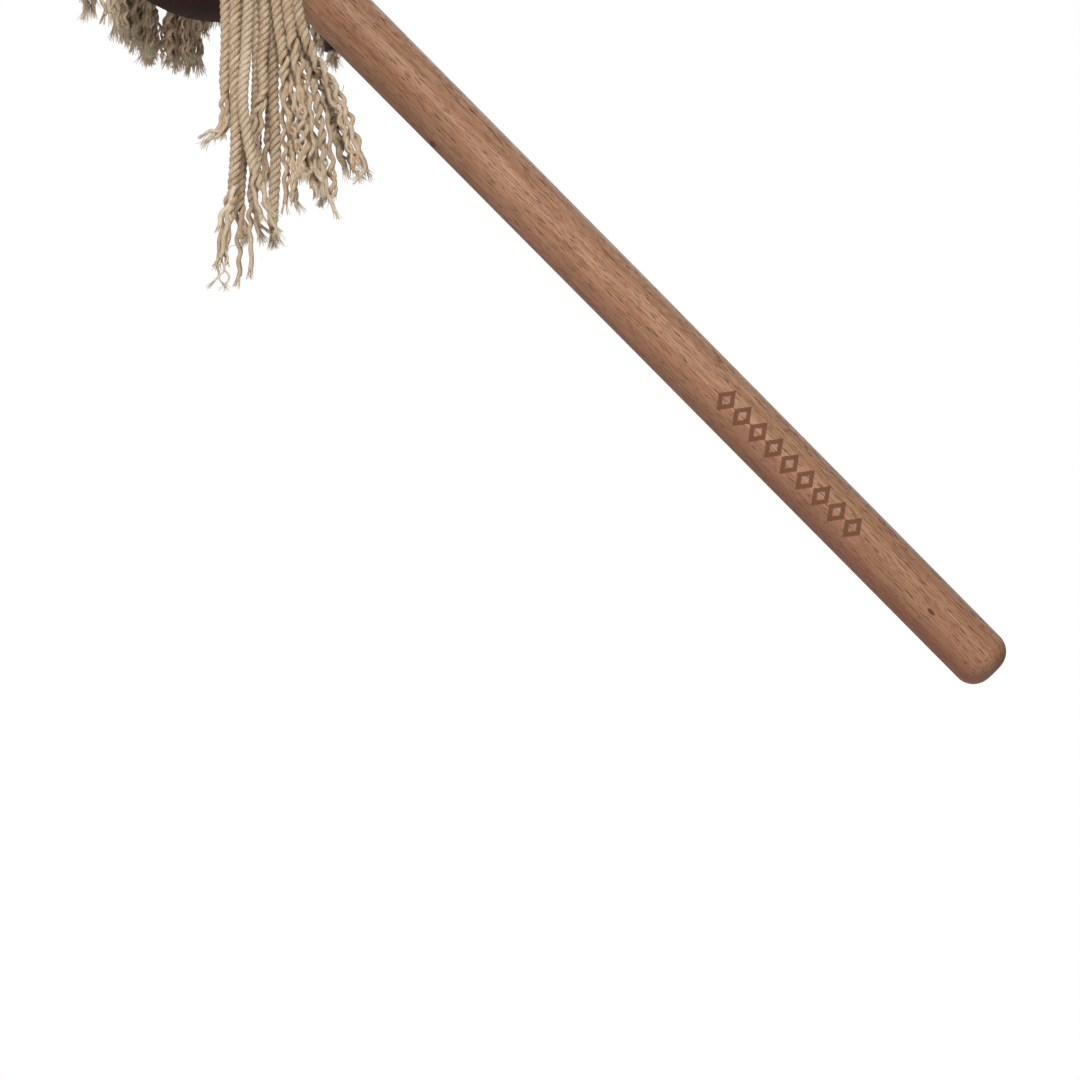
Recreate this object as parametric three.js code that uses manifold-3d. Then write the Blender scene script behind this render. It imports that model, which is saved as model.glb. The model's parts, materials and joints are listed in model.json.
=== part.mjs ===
// A corded fly whisk: cotton cords bound round the head of a round beech handle, with the binding
// hidden in a moulded leather cup. Millimetres, +Z up, held in mid-air by the grip, butt end low.
// The origin is the middle of the hand's grip, on the handle's axis.
import * as THREE from "three";
import { mergeVertices } from "three/addons/utils/BufferGeometryUtils.js";
import Module from "manifold-3d";

const wasm = await Module();
wasm.setup();

// ---- driving sizes ----
const HANDLE_LENGTH = 470;
const GRIP_TO_BUTT = 110;
const BUTT_DIAMETER = 24.6;
const HEAD_DIAMETER = 25.6;
const BUTT_ROUNDING = 6.5;
const HEAD_CHAMFER = 1.5;
const HANDLE_LEAN_DEG = 44.7; // from upright, head end towards -X

const CUP_RADIUS = 55;
const CUP_WALL = 2.4;
const CUP_LIP = 4; // straight band between the bowl and the mouth
const CUP_BELOW_HEAD_END = 7; // the handle's head end stands this far past the mouth
const SLEEVE_LENGTH = 17; // the leather turned in along the handle

const CORD_DIAMETER = 4.9;
const CORD_SIDES = 8;
const CORD_STEP = 14;
const ROOT_LAYERS = 2;
const ROOT_PACKING = 0.92; // how far layers of round cords nest in each other
const ROOT_START_GAP = 2; // from the sleeve's end to the cut roots
const ROOT_LENGTH = 17; // straight, bound stretch
const MOUTH_SPACE = 4.6; // between the outermost cords and the leather
const CROWN_HEIGHT = 38; // how far the cords stand up past the mouth before they turn over

const THREAD_DIAMETER = 1.4;
const THREAD_WRAPS = 3;
const NECK_THREAD_FROM_BOWL = 1.6;
const ROOT_THREAD_PITCH = 8; // between the two bindings on the roots

const TACK_COUNT = 4;
const TACK_SHANK_DIAMETER = 1.6;
const TACK_HEAD_DIAMETER = 4.6;
const TACK_HEAD_HEIGHT = 1.3;
const TACK_LENGTH = 8.5;
const TACK_FROM_SLEEVE_END = 5; // from the middle of a tack to the cut edge of the leather

const TIE_FROM_END = 8; // thread tied round one short cord, above its cut end
const GAP = 0.3; // running clearance between any two pieces

// ---- stations along the handle, from the grip towards the head ----
const HEAD_END = HANDLE_LENGTH - GRIP_TO_BUTT;
const MOUTH = HEAD_END - CUP_BELOW_HEAD_END;
const BOWL_CENTRE = MOUTH - CUP_LIP;
const BORE = HEAD_DIAMETER / 2 + GAP;
const BOWL_INSIDE = CUP_RADIUS - CUP_WALL;
const BOWL_BOTTOM = BOWL_CENTRE - Math.sqrt(CUP_RADIUS ** 2 - BORE ** 2);
const SLEEVE_RADIUS = BORE + CUP_WALL;
const SLEEVE_FOOT = BOWL_CENTRE - Math.sqrt(BOWL_INSIDE ** 2 - SLEEVE_RADIUS ** 2);
const SLEEVE_END = BOWL_BOTTOM + SLEEVE_LENGTH;
const NECK_THREAD_START = SLEEVE_FOOT + NECK_THREAD_FROM_BOWL;
const TACK_STATION = SLEEVE_END - TACK_FROM_SLEEVE_END;
const ROOTS_FOOT = SLEEVE_END + ROOT_START_GAP;
const ROOTS_TOP = ROOTS_FOOT + ROOT_LENGTH;
const ROOT_RADIUS = BORE + ROOT_LAYERS * CORD_DIAMETER * ROOT_PACKING;

// ---- materials ----
const finish = (color, roughness, metalness = 0) =>
  new THREE.MeshStandardMaterial({ color, roughness, metalness });
const BEECH = finish(0xb98a68, 0.55);
const LEATHER = finish(0x2f1a16, 0.38);
const COTTON = finish(0xb59f82, 0.95);
const THREAD = finish(0x2a1f19, 0.8);
const BRASS = finish(0xa9854a, 0.35, 0.9);

// ---- helpers ----
function toSolid(geometry) {
  const bare = geometry.index ? geometry.toNonIndexed() : geometry.clone();
  bare.deleteAttribute("normal");
  bare.deleteAttribute("uv");
  const merged = mergeVertices(bare, 1e-4);
  return new wasm.Manifold(
    new wasm.Mesh({
      numProp: 3,
      vertProperties: merged.attributes.position.array,
      triVerts: new Uint32Array(merged.index.array),
    }),
  );
}

function toGeometry(solid) {
  const mesh = solid.getMesh();
  const geometry = new THREE.BufferGeometry();
  geometry.setAttribute("position", new THREE.BufferAttribute(mesh.vertProperties, 3));
  geometry.setIndex(new THREE.BufferAttribute(mesh.triVerts, 1));
  geometry.computeVertexNormals();
  return geometry;
}

// A profile of [radius, height] turned round the Z axis.
function turned(profile, segments) {
  const points = profile.map(([r, z]) => new THREE.Vector2(r, z));
  return new THREE.LatheGeometry(points, segments).rotateX(Math.PI / 2);
}

// Points of an arc about [0, height], as [radius, height], between two angles from the +Z axis.
function bowlArc(radius, height, from, to, count) {
  return Array.from({ length: count + 1 }, (_, i) => {
    const a = from + ((to - from) * i) / count;
    return [radius * Math.sin(a), height + radius * Math.cos(a)];
  });
}

function named(name, geometry, material) {
  const mesh = new THREE.Mesh(geometry, material);
  mesh.name = name;
  return mesh;
}

// ---- handle: a turned dowel with a slight taper and a rounded butt ----
function handleProfile() {
  const butt = BUTT_DIAMETER / 2;
  const head = HEAD_DIAMETER / 2;
  const rounding = Array.from({ length: 5 }, (_, i) => {
    const a = (Math.PI / 2) * (i / 4);
    return [
      butt - BUTT_ROUNDING + BUTT_ROUNDING * Math.sin(a),
      -GRIP_TO_BUTT + BUTT_ROUNDING - BUTT_ROUNDING * Math.cos(a),
    ];
  });
  return [
    [0, -GRIP_TO_BUTT],
    ...rounding,
    [head, HEAD_END - HEAD_CHAMFER],
    [head - HEAD_CHAMFER, HEAD_END],
    [0, HEAD_END],
  ];
}

function tackHole(turn) {
  const hole = new THREE.CylinderGeometry(
    TACK_SHANK_DIAMETER / 2 + GAP,
    TACK_SHANK_DIAMETER / 2 + GAP,
    TACK_LENGTH + CUP_WALL,
    8,
  );
  // Along X, from inside the handle to outside the sleeve, then turned to its place.
  const middle = SLEEVE_RADIUS + GAP - TACK_LENGTH / 2;
  return hole
    .rotateZ(Math.PI / 2)
    .translate(middle, 0, TACK_STATION)
    .rotateZ(turn);
}

const tackTurns = Array.from(
  { length: TACK_COUNT },
  (_, i) => (2 * Math.PI * (i + 0.5)) / TACK_COUNT,
);

function withTackHoles(geometry) {
  return toGeometry(
    tackTurns.reduce((solid, turn) => solid.subtract(toSolid(tackHole(turn))), toSolid(geometry)),
  );
}

// ---- leather cup: a bowl whose bottom is turned in along the handle as a sleeve ----
function cupProfile() {
  const outerFoot = Math.PI - Math.asin(BORE / CUP_RADIUS);
  const innerFoot = Math.PI - Math.asin(SLEEVE_RADIUS / BOWL_INSIDE);
  return [
    ...bowlArc(CUP_RADIUS, BOWL_CENTRE, outerFoot, Math.PI / 2, 10),
    [CUP_RADIUS, MOUTH],
    [BOWL_INSIDE, MOUTH],
    ...bowlArc(BOWL_INSIDE, BOWL_CENTRE, Math.PI / 2, innerFoot, 9),
    [SLEEVE_RADIUS, SLEEVE_END],
    [BORE, SLEEVE_END],
    [BORE, BOWL_BOTTOM],
  ];
}

// ---- tack: a domed head outside the sleeve, its shank in the handle ----
function tack(index) {
  const shank = TACK_SHANK_DIAMETER / 2;
  const head = TACK_HEAD_DIAMETER / 2;
  const profile = [
    [0, -TACK_LENGTH],
    [shank, -TACK_LENGTH + 2 * shank],
    [shank, 0],
    [head, 0],
    [head * 0.7, TACK_HEAD_HEIGHT * 0.75],
    [0, TACK_HEAD_HEIGHT],
  ];
  const geometry = turned(profile, 8)
    .rotateY(Math.PI / 2)
    .translate(SLEEVE_RADIUS + GAP, 0, TACK_STATION)
    .rotateZ(tackTurns[index]);
  return named(`cup_tack_${index + 1}`, geometry, BRASS);
}

// ---- thread wound side by side: one ring with a lobe for each wrap ----
function threadBand(name, insideRadius, start, segments) {
  const half = THREAD_DIAMETER / 2;
  const lobes = Array.from({ length: THREAD_WRAPS }, (_, i) => {
    const middle = start + half + i * THREAD_DIAMETER;
    return [
      [insideRadius + half, middle - half],
      [insideRadius + THREAD_DIAMETER, middle],
    ];
  }).flat();
  const end = start + THREAD_WRAPS * THREAD_DIAMETER;
  const profile = [
    [insideRadius, start],
    ...lobes,
    [insideRadius + half, end],
    [insideRadius, end],
    [insideRadius, start],
  ];
  return named(name, turned(profile, segments), THREAD);
}

// ---- the bound inner lengths of the cords, from their cut roots to where they turn over ----
function bundleProfile() {
  const mouthRadius = BOWL_INSIDE - MOUTH_SPACE;
  const crown = (share, height) => [mouthRadius * share, MOUTH + height * CROWN_HEIGHT];
  return [
    [0, HEAD_END + 2 * GAP],
    [BORE, HEAD_END + 2 * GAP],
    [BORE, ROOTS_FOOT],
    [ROOT_RADIUS, ROOTS_FOOT],
    [ROOT_RADIUS, ROOTS_TOP],
    [mouthRadius, MOUTH - 1],
    crown(0.94, 0.11),
    crown(0.87, 0.26),
    crown(0.75, 0.53),
    crown(0.54, 0.79),
    crown(0.25, 0.95),
    crown(0, 1),
  ];
}

// ---- cords: each hangs from where it turns over the crown to its cut end ----
// Points are [right, back, up] from the middle of the cup's mouth.
const LOCKS = {
  front_left: [
    [[7, -58, 18], [6.5, -61, 3], [7, -60, -20], [7.5, -59.5, -45], [8, -59.5, -70],
      [7.5, -59.5, -88], [8.5, -59.5, -100], [6, -60, -107]],
    [[10, -62, 24], [11, -69, 11], [12, -71.5, -12], [12.5, -71.5, -42], [12, -71.5, -78],
      [12.5, -71.5, -107], [11.5, -71.5, -129], [9.5, -71.5, -140], [6.5, -71.5, -160]],
    [[15, -65, 30], [16, -74, 17], [17.5, -77.5, -10], [18, -77.5, -42], [17, -77.5, -75],
      [15.5, -77.5, -96], [18, -77.5, -112], [21.5, -77.5, -128], [25, -77.5, -141]],
    [[13, -56, 21], [13, -59.5, 5], [13, -59.5, -15], [13.5, -59.5, -41], [13.5, -59.5, -77],
      [15, -59.5, -107], [13.5, -59.5, -136], [14.5, -59.5, -151], [15, -59.5, -166]],
    [[17, -58, 27], [17.5, -64.5, 12], [18, -65.5, -12], [19, -65.5, -41], [21, -65.5, -78],
      [20.5, -65.5, -103], [20.5, -65.5, -120], [19, -65.5, -135], [21, -65.5, -155], [21, -65.5, -164]],
    [[20, -61, 32], [21.5, -69, 19], [22.5, -71.5, -8], [23, -71.5, -42], [24, -71.5, -66],
      [23, -71.5, -79], [23.5, -71.5, -91], [20.5, -71.5, -102], [20, -71.5, -109]],
    [[22.5, -55.5, 31], [24, -62.5, 16], [24.5, -65, -8], [25.5, -65.5, -41], [27.5, -65.5, -74],
      [27.5, -65.5, -91], [28.5, -65.5, -120], [27.5, -65.5, -137], [27, -65.5, -149]],
    [[19, -53, 26], [19.5, -58, 10], [20, -59.5, -12], [20.5, -59.5, -41], [23.5, -59.5, -65],
      [26, -59.5, -86], [26, -59.5, -106], [24.5, -59.5, -126]],
  ],
  front_right: [
    [[28, -48, 37], [29, -54, 20], [29, -57.5, -8], [29.5, -59.5, -41], [32, -59.5, -65],
      [37, -59.5, -84], [40.5, -59.5, -96], [42.5, -59.5, -110], [46, -59.5, -131]],
    [[26, -64, 43], [27.5, -73.5, 30], [28, -77.5, 0], [28, -77.5, -42], [30, -77.5, -62],
      [33, -77.5, -83], [34.5, -77.5, -99], [38.5, -77.5, -111], [42.5, -77.5, -121], [47, -77.5, -132]],
    [[29, -58, 42], [30, -66.5, 28], [30, -71, 0], [30, -71.5, -42], [32, -71.5, -66],
      [33, -71.5, -86], [33.5, -71.5, -107], [35, -71.5, -123], [35, -71.5, -137]],
    [[31, -51, 41], [32.5, -59, 26], [33, -64.5, -4], [33, -65.5, -41], [35.5, -65.5, -62],
      [41.5, -65.5, -78], [45.5, -65.5, -90], [47.5, -65.5, -102], [49, -65.5, -119], [50, -65.5, -135]],
    [[34, -53, 47], [36, -62, 34], [36.5, -69.5, 4], [36, -71.5, -38], [38.5, -71.5, -62],
      [44, -71.5, -77], [51, -71.5, -88], [56, -71.5, -99], [60, -71.5, -111], [64, -71.5, -124]],
    [[34, -42, 41], [36, -49.5, 24], [36.5, -54, -6], [36, -59, -45], [38.5, -59.5, -69],
      [45.5, -59.5, -81], [50.5, -59.5, -92], [53, -59.5, -105], [58, -59.5, -122]],
    [[32, -60, 49], [33.5, -71, 38], [34, -81, 8], [33, -83, -42], [35, -83, -66],
      [38.5, -83, -83], [41, -83, -99], [42, -83, -115], [40.5, -83, -126]],
  ],
  back_left: [
    [[-41, 37, 4], [-43, 41, -8], [-42, 42, -34], [-41.5, 42, -58]],
    [[-37, 42, 6], [-38, 46, -7], [-37, 47, -34], [-36, 47, -62]],
    [[-32, 46, 8], [-32.5, 50, -6], [-31.5, 51.5, -34], [-31, 51.5, -65]],
    [[-39, 46, 12], [-41, 51.5, 0], [-40, 53.5, -34], [-38.5, 53.5, -60]],
    [[-34, 50, 15], [-35, 56, 2], [-35, 58, -33], [-34.5, 58, -64]],
    [[-28.5, 50, 11], [-28.5, 55.5, -3], [-28.5, 57, -33], [-28.5, 57, -67]],
    [[-31, 55, 15.5], [-31, 61.5, 2.5], [-30.5, 63.5, -33], [-30, 63.5, -69]],
  ],
  back_middle: [
    [[-21, 50.5, 18], [-21, 56.5, 4], [-20.5, 58.5, -33], [-20.5, 58.5, -70]],
    [[-15.5, 52, 19], [-15.5, 58.5, 5], [-15, 60.5, -33], [-13.5, 60.5, -69]],
    [[-9, 52, 22], [-9, 58.5, 8], [-9, 61, -30], [-8.5, 61, -57]],
    [[-3, 52, 24], [-2.5, 58.5, 10], [-2.5, 61, -28], [-2, 61, -53]],
    [[-20, 57, 25], [-19.5, 63.5, 11], [-18.5, 66, -32], [-17, 66.5, -71]],
    [[-12, 58, 27], [-12, 65, 14], [-12, 67.5, -30], [-11, 67.5, -72]],
  ],
  back_right: [
    [[5, 51, 34], [5.5, 58, 20], [5, 61, -24], [5, 61, -56]],
    [[12, 50, 35], [12.5, 56.5, 21], [12.5, 59.5, -22], [12, 59.5, -60]],
    [[19, 47, 37], [20, 53, 22], [20.5, 56.5, -20], [20, 56.5, -58]],
    [[25.5, 42, 39], [27.5, 48.5, 24], [28.5, 53, -18], [28, 53, -61]],
    [[31.5, 36, 40], [34.5, 43, 26], [36.5, 49, -16], [35.5, 49, -64]],
    [[36, 29, 41], [41, 36, 28], [43.5, 44, -12], [43, 44, -66]],
    [[39.5, 21.5, 42], [46, 28, 31], [50.5, 36, -10], [49, 37, -71]],
    [[9, 56, 42], [9, 63.5, 29], [8.5, 66.5, -20], [8.5, 66.5, -52]],
  ],
  left: [
    [[-43, -4, 11], [-50, -5, 1], [-52.5, -5, -26], [-51.5, -5, -54]],
    [[-43, 7.5, 2], [-46, 9.5, -9], [-45, 11, -30], [-44, 12, -54]],
    [[-42.5, -13.5, 7], [-49, -16.5, -3], [-51, -18, -24], [-50.5, -18, -44]],
    [[-43.5, 14, 12], [-51, 18, 2], [-53.5, 21, -22], [-53, 21.5, -45]],
  ],
};
const TIED_CORD = ["back_right", 6];

const routeOf = (points) =>
  new THREE.CatmullRomCurve3(points.map((p) => new THREE.Vector3(...p)));

function cord(name, points) {
  const route = routeOf(points);
  const section = new THREE.Shape(
    Array.from({ length: CORD_SIDES }, (_, i) => {
      const a = (2 * Math.PI * i) / CORD_SIDES;
      return new THREE.Vector2(Math.cos(a), Math.sin(a)).multiplyScalar(CORD_DIAMETER / 2);
    }),
  );
  const steps = Math.max(4, Math.round(route.getLength() / CORD_STEP));
  const tube = new THREE.ExtrudeGeometry(section, {
    steps,
    extrudePath: route,
    bevelEnabled: false,
  });
  return named(name, tube, COTTON);
}

// ---- thread tied round one short cord, square to its run ----
function tieThread() {
  const [lock, index] = TIED_CORD;
  const route = routeOf(LOCKS[lock][index]);
  const share = 1 - TIE_FROM_END / route.getLength();
  const tie = threadBand("tie_thread", CORD_DIAMETER / 2 + GAP, 0, 12);
  tie.position.copy(route.getPointAt(share));
  tie.quaternion.setFromUnitVectors(new THREE.Vector3(0, 0, 1), route.getTangentAt(share));
  return tie;
}

// ---- assembly ----
const stick = new THREE.Group(); // +Z along the handle, towards the head
stick.rotation.y = -THREE.MathUtils.degToRad(HANDLE_LEAN_DEG);
stick.add(named("handle", withTackHoles(turned(handleProfile(), 28)), BEECH));
stick.add(named("leather_cup", withTackHoles(turned(cupProfile(), 36)), LEATHER));
tackTurns.forEach((_, i) => stick.add(tack(i)));
stick.add(threadBand("neck_thread", SLEEVE_RADIUS + GAP, NECK_THREAD_START, 20));
stick.add(named("cord_bundle", turned(bundleProfile(), 24), COTTON));
["lower", "upper"].forEach((which, i) =>
  stick.add(
    threadBand(
      `root_thread_${which}`,
      ROOT_RADIUS + GAP,
      ROOTS_FOOT + THREAD_DIAMETER + i * ROOT_THREAD_PITCH,
      24,
    ),
  ),
);

const head = new THREE.Group(); // level, about the middle of the cup's mouth
head.position.set(0, 0, MOUTH).applyEuler(stick.rotation);
for (const [lock, cords] of Object.entries(LOCKS))
  cords.forEach((points, i) => head.add(cord(`${lock}_cord_${i + 1}`, points)));
head.add(tieThread());

const whisk = new THREE.Group();
whisk.add(stick, head);
export default whisk;
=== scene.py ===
"""Looks for a corded fly whisk: twisted cotton cords, a beech handle and a leather cup."""
import json
import math
import random

import bmesh
import bpy
import numpy as np
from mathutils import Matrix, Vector

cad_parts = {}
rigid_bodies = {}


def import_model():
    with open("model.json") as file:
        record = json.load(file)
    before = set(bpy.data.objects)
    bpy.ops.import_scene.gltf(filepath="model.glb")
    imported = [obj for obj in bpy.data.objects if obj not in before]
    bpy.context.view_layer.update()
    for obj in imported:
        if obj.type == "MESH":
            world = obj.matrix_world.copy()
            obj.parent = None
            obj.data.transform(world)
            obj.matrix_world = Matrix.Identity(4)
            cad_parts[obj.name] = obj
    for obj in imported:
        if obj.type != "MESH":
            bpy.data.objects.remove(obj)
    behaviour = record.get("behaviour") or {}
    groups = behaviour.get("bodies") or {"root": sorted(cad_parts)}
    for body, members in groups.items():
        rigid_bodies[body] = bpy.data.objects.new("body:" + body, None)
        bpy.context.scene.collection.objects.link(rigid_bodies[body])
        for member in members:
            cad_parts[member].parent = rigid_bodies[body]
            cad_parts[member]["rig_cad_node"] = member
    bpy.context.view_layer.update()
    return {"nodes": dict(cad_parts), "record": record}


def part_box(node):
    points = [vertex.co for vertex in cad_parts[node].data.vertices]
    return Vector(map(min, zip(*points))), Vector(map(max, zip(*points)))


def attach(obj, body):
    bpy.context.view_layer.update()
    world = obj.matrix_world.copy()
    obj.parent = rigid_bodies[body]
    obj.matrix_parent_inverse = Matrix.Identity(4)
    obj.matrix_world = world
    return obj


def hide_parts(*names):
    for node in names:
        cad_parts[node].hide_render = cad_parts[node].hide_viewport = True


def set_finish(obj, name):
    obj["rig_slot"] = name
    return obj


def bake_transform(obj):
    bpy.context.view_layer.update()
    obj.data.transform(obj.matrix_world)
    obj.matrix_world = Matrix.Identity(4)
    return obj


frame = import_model()

MM = 0.001
SEED = 41
rng = random.Random(SEED)


# ---- the frame's own directions and stations ----
def unit(v):
    v = np.asarray(v, float)
    return v / np.linalg.norm(v)


BUTT_MOUNT = next(m for m in frame["record"]["mounts"] if m["name"] == "butt_end")
AXIS = -unit(BUTT_MOUNT["axis"])           # along the handle, from the grip to the head
BACK = np.array([0.0, 1.0, 0.0])
ASIDE = unit(np.cross(BACK, AXIS))         # square to the handle, to the right and up


def along(node):
    """Lowest and highest station of a CAD node along the handle, from the grip, in metres."""
    co = np.array([v.co for v in frame["nodes"][node].data.vertices], float) @ AXIS
    return co.min(), co.max()


def widest(node):
    """Largest radius of a CAD node about the handle's axis, in metres."""
    co = np.array([v.co for v in frame["nodes"][node].data.vertices], float)
    return np.linalg.norm(co - np.outer(co @ AXIS, AXIS), axis=1).max()


BUTT_END, HEAD_END = along("handle")
MOUTH = along("leather_cup")[1]
MOUTH_CENTRE = AXIS * MOUTH
CUP_RADIUS = widest("leather_cup")
ROOTS_FOOT = along("cord_bundle")[0]
CROWN_TOP = along("cord_bundle")[1]


def on_stick(station, radius, azimuth):
    """A point about the handle's axis; azimuth 0 is to the right and up, a quarter turn is back."""
    side = math.cos(azimuth) * ASIDE + math.sin(azimuth) * BACK
    return AXIS * station + side * radius


# ---- sizes of the cords and of what they are twisted from, in metres ----
CORD_DIAMETER = 4.9 * MM
PLIES = 3
PLY_RADIUS = 1.16 * MM
PLY_RING = CORD_DIAMETER / 2 - PLY_RADIUS  # from the cord's centreline to a ply's
TWIST_PITCH = 8.6 * MM                     # one full turn of the plies
YARN_PITCH = 6.5 * MM                      # one full turn of the yarns in a ply
PLY_SIDES = 8
STEP = 0.8 * MM
ROOT_RADII = (15.6 * MM, 19.9 * MM)        # two layers of roots on the handle
ROOT_LENGTH = 17 * MM
DRIFT = 0.35 * MM                          # slow wandering of a ply that has come loose
ARCH_RADIUS = 13 * MM                      # where a cord turns over the crown
ARCH_TURNS = (120, 90, 60, 30)             # degrees of that turn left before the crest, at its points
HAIR_RADIUS = 0.14 * MM
FUZZ_RADIUS = 0.06 * MM
FUZZ_FIBRES = 26                           # on each cord
STRAY_STEP = 0.6 * MM
FILLER_STEP, FILLER_SIDES = 1.1 * MM, 6    # coarser, for the cords of the bundle

# ---- camera ----
CAMERA_DISTANCE = 3.0
FRAME_WIDTH = 0.45036
VIEW_CENTRE = Vector((-0.112, 0, -0.023))
SENSOR = 36.0


def make_camera():
    data = bpy.data.cameras.new("camera")
    data.sensor_width = SENSOR
    data.lens = SENSOR * CAMERA_DISTANCE / FRAME_WIDTH
    data.clip_start, data.clip_end = 0.1, 50
    camera = bpy.data.objects.new("camera", data)
    camera.location = VIEW_CENTRE - Vector((0, CAMERA_DISTANCE, 0))
    camera.rotation_euler = (math.radians(90), 0, 0)
    bpy.context.scene.collection.objects.link(camera)
    bpy.context.scene.camera = camera


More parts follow.
